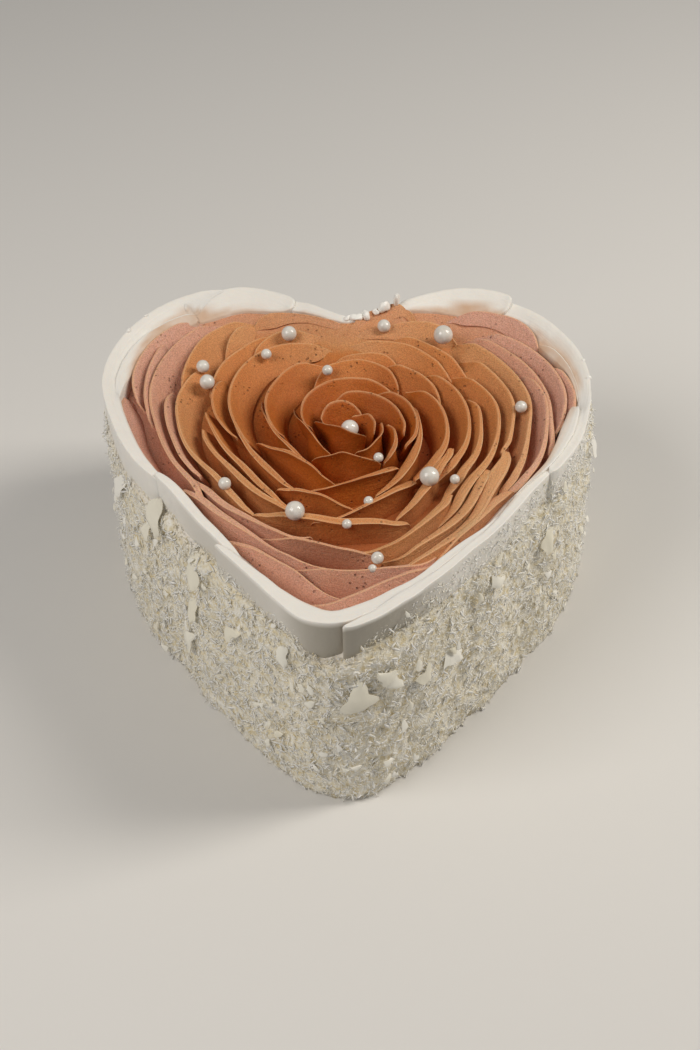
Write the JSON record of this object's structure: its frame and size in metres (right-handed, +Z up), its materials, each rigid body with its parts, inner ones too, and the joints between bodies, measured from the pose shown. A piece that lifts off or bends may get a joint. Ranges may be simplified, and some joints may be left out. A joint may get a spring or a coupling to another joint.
{
  "type": "anniversary cake",
  "caption": "Tall heart-shaped cake with a white piped border, a caramel-to-pink buttercream rose over its whole top, sugar pearls and coconut-like shavings on its side.",
  "frame": {"origin": "on the flat base, on the heart's axis of symmetry, below the middle of the rose", "axes": "+Z up, the heart's tip towards -Y and its notch towards +Y, +X to the right seen from the tip"},
  "size_m": [0.242, 0.2271, 0.1242],
  "materials": {
    "shavings": "matte, flaky white shavings over cream",
    "white_buttercream": "satin",
    "caramel_buttercream": "soft matte",
    "tan_buttercream": "soft matte",
    "pink_buttercream": "soft matte",
    "pearl_sugar": "pearly gloss"
  },
  "bodies": {
    "root": {"cake": "shavings", "icing_border": "white_buttercream", "rose_centre": "caramel_buttercream", "rose_middle": "tan_buttercream", "rose_outer": "pink_buttercream", "pearl_01": "pearl_sugar", "pearl_02": "pearl_sugar", "pearl_03": "pearl_sugar", "pearl_04": "pearl_sugar", "pearl_05": "pearl_sugar", "pearl_06": "pearl_sugar", "pearl_07": "pearl_sugar", "pearl_08": "pearl_sugar", "pearl_09": "pearl_sugar", "pearl_10": "pearl_sugar", "pearl_11": "pearl_sugar", "pearl_12": "pearl_sugar", "pearl_13": "pearl_sugar", "pearl_14": "pearl_sugar", "pearl_15": "pearl_sugar", "pearl_16": "pearl_sugar", "pearl_17": "pearl_sugar", "pearl_18": "pearl_sugar"}
  },
  "joints": []
}
